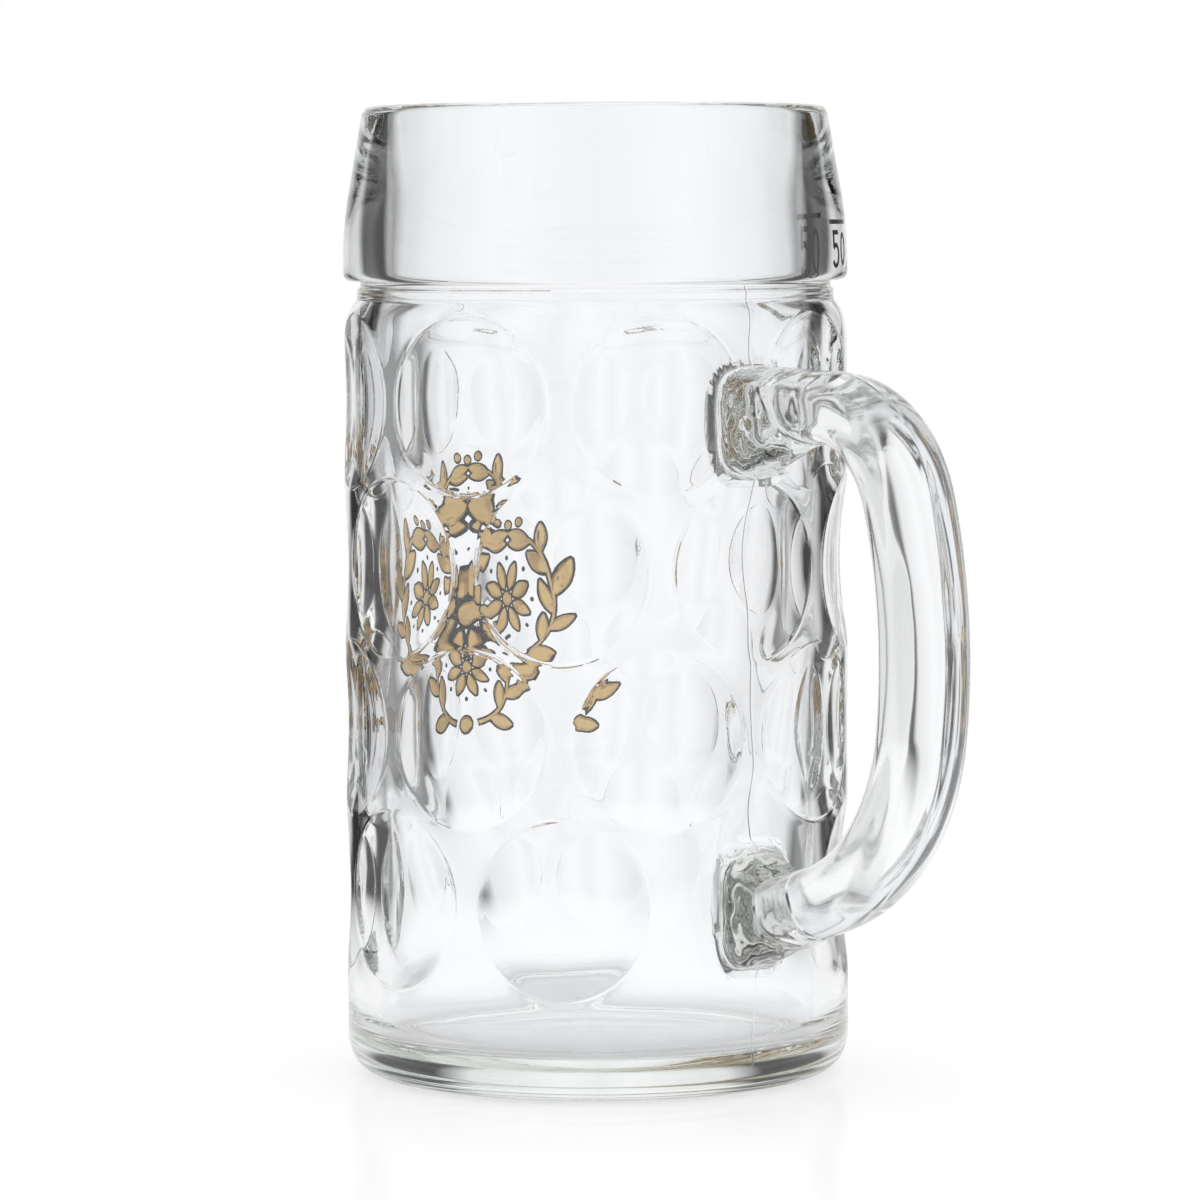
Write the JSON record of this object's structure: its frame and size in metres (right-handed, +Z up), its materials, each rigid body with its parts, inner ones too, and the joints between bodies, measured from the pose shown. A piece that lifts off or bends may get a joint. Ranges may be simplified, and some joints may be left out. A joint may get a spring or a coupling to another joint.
{
  "type": "dimpled glass beer mug",
  "caption": "Straight beer mug in thick clear pressed glass, with staggered rows of round dimples, a wide flared collar and a D-shaped handle on two lugs.",
  "frame": {"origin": "centre of the foot's ring, in the plane of the table", "axes": "+Z up the mug's axis to the mouth, +X from the axis towards the handle, and the XZ plane is the mould's seam and the plane of symmetry"},
  "size_m": [0.1298, 0.0822, 0.158],
  "materials": {
    "clear_glass": "clear, fire-polished",
    "handle_glass": "clear, fire-polished",
    "gold_enamel": "fired gold-brown enamel",
    "dark_enamel": "fired dark enamel"
  },
  "bodies": {
    "root": {"mug_body": "clear_glass", "handle": "handle_glass"}
  },
  "joints": []
}
